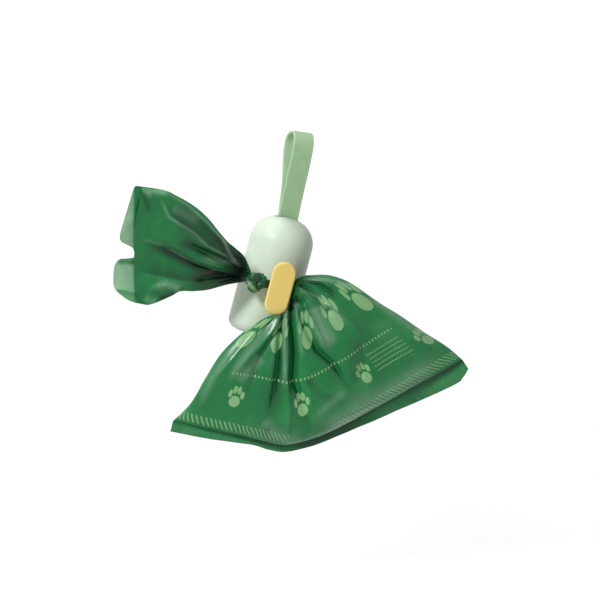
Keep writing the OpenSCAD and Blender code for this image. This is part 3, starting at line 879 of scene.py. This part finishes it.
def add_tail_point(film_points, p, r, t, front):
    """A point of the open end's film, r from the knot to the mouth and t from its top down."""
    height, layers_and_painted_shading = folded(TAIL_FOLDS, p)
    # Painted sheen on the front film only.
    painted_sheen = min(1.0, folded(TAIL_PAINTED_SHEEN, p)[1]) if front else 0.0
    edge = math.sin(math.pi * t) ** 0.35
    waves = 2.2 * rumple((p.x, 0, p.z), 24.0, 1.7) * smooth(0.1, 0.5, r)
    small = 0.5 * rumple((p.x, 0, p.z), 7.0, 9.1) * smooth(0.05, 0.4, r)
    away = p - KNOT_UPPER.lerp(KNOT_LOWER, 0.5)
    pleats = math.sin(TAIL_PLEATS * math.atan2(away.z, -away.x))
    pleats *= 0.8 * (1 - smooth(5.0, 45.0, away.length))
    apart = 0.12 + 1.5 * edge * smooth(0.02, 0.35, r)
    alone = 0.0
    if not front:
        extra, layers_and_painted_shading = folded(FLAP_FOLDS, p)
        height += extra
        alone = 1 - smooth(FRONT_EDGE_X - 1.0, FRONT_EDGE_X + 1.5, p.x)
    p.y += (-1 if front else 1) * apart - edge * (height + waves + small + pleats)
    gathered = 0.45 * (1 - smooth(0.0, 0.42, r))
    # The folds' layers, added here, carry painted shade beside the creases.
    film_points.add(p, (t * 0.2, 0.03 + r * 0.1), mix(2.15, 1.1, alone) + layers_and_painted_shading + gathered,
                    1 - smooth(0.05, 0.6, r), painted_sheen)


def make_tail():
    """The open end: two layers of film fanned out from the knot, the back one reaching further."""
    flat = [TAIL_DEPTH, TAIL_DEPTH]
    for name, mouth, front in (("tail_front_film", FRONT_MOUTH, True),
                               ("tail_back_film", BACK_MOUTH, False)):
        sheet = patch(pixel_curve(TAIL_TOP + [mouth[0]], flat),
                      pixel_curve(TAIL_BOTTOM + [mouth[-1]], flat),
                      lambda t: KNOT_UPPER.lerp(KNOT_LOWER, t), pixel_curve(mouth, flat),
                      TAIL_ROWS, TAIL_COLUMNS)
        film_points = FilmPoints()
        for i, row in enumerate(sheet):
            for j, p in enumerate(row):
                add_tail_point(film_points, p, i / (TAIL_ROWS - 1), j / (TAIL_COLUMNS - 1), front)
        tail = film_points.made(name, grid_faces(TAIL_ROWS, TAIL_COLUMNS), FILM, "tail",
                                ["bag_tail"] if front else ())


def twisted_tube(path, radius, pleats, turns, closed=False, sides=40, depth=0.13):
    """Points and faces of gathered film swept along a path of points, with pleats that wind round."""
    count = len(path)
    points, uvs = [], []
    side = Vector((0.12, 0.9, 0.3))
    for i, p in enumerate(path):
        before = path[i - 1] if closed or i else p
        after = path[(i + 1) % count] if closed or i < count - 1 else p
        tangent = (after - before).normalized()
        side = (side - tangent * side.dot(tangent)).normalized()
        up = tangent.cross(side)
        s = i / count if closed else i / (count - 1)
        for j in range(sides):
            a = 2 * math.pi * j / sides
            wave = math.sin(pleats * a + 2 * math.pi * turns * s)
            finer = math.sin((2 * pleats + 1) * a + 2 * math.pi * 1.7 * turns * s + 1.0)
            local = radius(s) * (1 + depth * (1 - abs(wave) * 1.6) + 0.05 * finer)
            q = p + (side * math.cos(a) + up * math.sin(a)) * local
            q += q.normalized() * 0.25 * rumple(q, 3.0, 2.2)
            points.append(q)
            uvs.append((j / sides * 0.03, s * 0.05))
    faces = grid_faces(count, sides, True, closed)
    if not closed:
        faces += [tuple(range(sides))[::-1], tuple((count - 1) * sides + j for j in range(sides))]
    return points, faces, uvs


def make_neck_and_knot():
    """The overhand knot beside the clip, and the twisted neck that runs behind the clip's plate."""
    centre = Vector(KNOT_AT)
    knot = []
    for k in range(150):
        a = 2 * math.pi * k / 150
        knot.append(centre + Vector((1.5 * (math.sin(a) + 2 * math.sin(2 * a)),
                                     -1.9 * math.sin(3 * a),
                                     1.35 * (math.cos(a) - 2 * math.cos(2 * a)))))
    points, faces, uvs = twisted_tube(knot, lambda s: 3.0, 6, 4, True, depth=0.2)
    points = [on_case(*p) for p in points]
    stripe = Fold(KNOT_PRINT, 0.0, layers=(0.8, 0.8), spread=1.2)
    values = {"layers": [3.0] * len(points), "drawn": [1.0] * len(points),
              "inked": [stripe.at(*pixel_of(p / MM))[1] for p in points]}
    make_object("knot_film", points, faces, uvs, values, FILM, "neck", ["bag_knot"], scale=1.0)
    start = Vector((0.0, NECK_Y, -NECK_DEPTH))
    route = [start + Vector(p) for p in ((-14.5, -1.25, -0.9), (-9.0, -0.85, -0.5), (-4.0, -0.15, -0.1),
                                         (2.0, 0.0, 0.0), (6.0, 0.0, 0.0), (9.2, 0.0, 0.0))]
    path = [curve_through(route, k / 60) for k in range(61)]
    points, faces, uvs = twisted_tube(path, lambda s: mix(2.5, 2.75, s), 6, 2.2)
    values = {"layers": [2.8] * len(points), "drawn": [1.0] * len(points)}
    make_object("neck_film", [on_case(*p) for p in points], faces, uvs, values, FILM, "neck",
                ["bag_neck"], scale=1.0)


# ---------------------------------------------------------------- refill roll
LEADER_OFFSET = ROLL_R + 0.6
LEADER_TURN = math.pi / 2 - math.acos(LEADER_OFFSET / CASE_R)
LEADER_MID = -59.8


def on_film_way(x, y, z):
    """A point of the straight way that the film takes out of the case, x off its plane."""
    turn = Matrix.Rotation(LEADER_TURN, 3, "Z")
    return on_case(*(turn @ Vector((LEADER_OFFSET + x, y, LEADER_MID + z))))


def make_roll():
    """Wound film: a spiral of layers that shows on the ends, and a slight step where it ends."""
    columns = 144
    profile = [(CORE_R + 0.05, ROLL_BOTTOM + 0.1), (CORE_R + 0.05, ROLL_TOP - 0.1)]
    rings = 26
    for k in range(rings + 1):
        profile.append((mix(CORE_R + 0.1, ROLL_R - 0.35, k / rings), ROLL_TOP - 0.22 * (k % 2)))
    side_rows = 40
    for k in range(side_rows + 1):
        profile.append((ROLL_R, mix(ROLL_TOP - 0.3, ROLL_BOTTOM + 0.3, k / side_rows)))
    for k in range(rings + 1):
        profile.append((mix(ROLL_R - 0.35, CORE_R + 0.1, k / rings), ROLL_BOTTOM + 0.22 * (k % 2)))
    points, uvs = [], []
    for r, z in profile:
        for j in range(columns):
            a = 2 * math.pi * j / columns
            local = r
            if r > CORE_R + 1:
                dent = rumple((9 * math.cos(a), 9 * math.sin(a), z), 5.0, 3.3)
                local = r - 0.28 * (j / columns) + 0.10 * dent
            points.append(on_case(local * math.cos(a), local * math.sin(a), z))
            uvs.append((a * r * MM, z * MM))
    faces = grid_faces(len(profile), columns, True, True)
    return make_object("roll_film", points, faces, uvs, {"layers": [2.5] * len(points)}, FILM, "roll",
                       ["bag_roll"], scale=1.0)


def make_leader():
    """Free end of the first bag: flat through the slit, then curling and slightly ruffled outside."""
    exit_y = CASE_R * math.sin(math.acos(LEADER_OFFSET / CASE_R))
    rows, columns = 60, 34
    points, uvs = [], []
    for side in (1, -1):
        for i in range(rows):
            y = mix(-2.0, exit_y + 11.6, i / (rows - 1))
            free = smooth(exit_y + 2.0, exit_y + 11.6, y)
            for j in range(columns):
                z = mix(-11.0, 11.0, j / (columns - 1))
                wave = free * (0.6 * math.sin(0.45 * z + 0.5) + 0.7 * rumple((y, z, 0), 8.0, 1.3))
                layers = side * 0.22 * math.sin(math.pi * j / (columns - 1)) ** 0.3
                points.append(on_film_way(wave + layers + 2.0 * free * free, y, z * (1 - 0.04 * free)))
                uvs.append((z * MM, y * MM))
    half = rows * columns
    faces = grid_faces(rows, columns) + grid_faces(rows, columns, offset=half, flip=True)
    around = [(i * columns, (i + 1) * columns) for i in range(rows - 1)]
    around += [(b + columns - 1, a + columns - 1) for a, b in around]
    around += [(j + 1, j) for j in range(columns - 1)]
    around += [(half - columns + j, half - columns + j + 1) for j in range(columns - 1)]
    faces += [(a, b, half + b, half + a) for a, b in around]
    leader = make_object("leader_film", points, faces, uvs, {"layers": [2.5] * len(points)}, FILM,
                         "leader", ["film_leader"], scale=1.0)


# ---------------------------------------------------------------- stage
# Lamps: offset from the part in m, size in m and power in W.
LAMPS = {"key": ((-1.0, -0.80, 1.12), 0.5, 21.5), "fill": ((1.1, -0.9, 0.3), 1.0, 0.4),
         "top": ((-0.1, 0.4, 1.3), 0.8, 6.5)}
WORLD_LIGHT = 0.17
FLOOR_TONE = (0.78, 0.78, 0.77)
FLOOR_REACH = 30.0
FLOOR_HEIGHT = -0.30
FLOOR_WHITE = 0.8
# Distance from the part in m, and how bright the floor looks there.
FLOOR_NEAR = (0.4, 1.13)
FLOOR_FAR = (2.5, 1.3)


def make_camera():
    """A camera at the photograph's angle and scale."""
    data = bpy.data.cameras.new("camera")
    data.sensor_width = 36.0
    data.lens = 36.0 * DISTANCE / (PHOTO_SIZE * MM_PER_PIXEL * MM)
    data.clip_end = 100.0
    camera = placed("camera", data)
    camera.matrix_world = Matrix((RIGHT, UP, BACK)).transposed().to_4x4()
    camera.location = EYE
    bpy.context.scene.camera = camera


def area_light(name, offset, size, energy):
    """A soft lamp at an offset from the part, turned towards it."""
    data = bpy.data.lights.new(name, "AREA")
    data.shape = "DISK"
    data.size = size
    data.energy = energy
    light = placed(name, data)
    light.location = LOOK_AT + Vector(offset)
    light.rotation_euler = Vector(offset).to_track_quat("Z", "Y").to_euler()


def pale_rays(tree):
    """1 for rays that the camera, gloss or glass sends."""
    path = tree.nodes.new("ShaderNodeLightPath")
    total = path.outputs["Is Camera Ray"]
    for ray in ("Is Glossy Ray", "Is Transmission Ray"):
        node = tree.nodes.new("ShaderNodeMath")
        node.operation = "MAXIMUM"
        tree.links.new(total, node.inputs[0])
        tree.links.new(path.outputs[ray], node.inputs[1])
        total = node.outputs[0]
    return total


def make_world():
    """A white world that lights the part only a little."""
    world = bpy.data.worlds.new("world")
    bpy.context.scene.world = world
    world.use_nodes = True
    tree = world.node_tree
    background = tree.nodes["Background"]
    background.inputs["Color"].default_value = (1, 1, 1, 1)
    strength = tree.nodes.new("ShaderNodeMapRange")
    strength.inputs["To Min"].default_value = WORLD_LIGHT
    strength.inputs["To Max"].default_value = 1.0
    tree.links.new(pale_rays(tree), strength.inputs["Value"])
    tree.links.new(strength.outputs["Result"], background.inputs["Strength"])


def floor_material():
    """Pale paper that looks white and keeps the part's shadow; it brightens with the distance."""
    s = Shader("floor_paper", FLOOR_TONE, 0.9)
    distance = s.vector("LENGTH", s.object_place())
    brighter = s.node("ShaderNodeMapRange", Value=distance, From_Min=FLOOR_NEAR[0],
                      From_Max=FLOOR_FAR[0], To_Min=FLOOR_NEAR[1], To_Max=FLOOR_FAR[1])
    white = s.node("ShaderNodeEmission", Strength=brighter.outputs["Result"])
    blend = s.tree.nodes.new("ShaderNodeMixShader")
    parts = (s.times(pale_rays(s.tree), FLOOR_WHITE), s.principled.outputs[0],
             white.outputs[0])
    for socket, value in zip(blend.inputs, parts):
        s.wire(socket, value)
    s.wire(s.tree.nodes["Material Output"].inputs["Surface"], blend.outputs[0])
    return s.material


def make_floor():
    """A wide flat floor below the hanging part."""
    mesh = bpy.data.meshes.new("floor")
    corners = [(-1, -1), (1, -1), (1, 1), (-1, 1)]
    mesh.from_pydata([(x * FLOOR_REACH, y * FLOOR_REACH, FLOOR_HEIGHT) for x, y in corners], [],
                     [(0, 1, 2, 3)])
    mesh.materials.append(floor_material())
    placed("floor", mesh)


make_camera()
make_world()
make_floor()
for name, (offset, size, energy) in LAMPS.items():
    area_light(name, offset, size, energy)
bpy.context.scene.view_settings.view_transform = "Standard"
finish_cad_nodes()
make_strap()
make_pouch()
make_tail()
make_neck_and_knot()
make_roll()
make_leader()
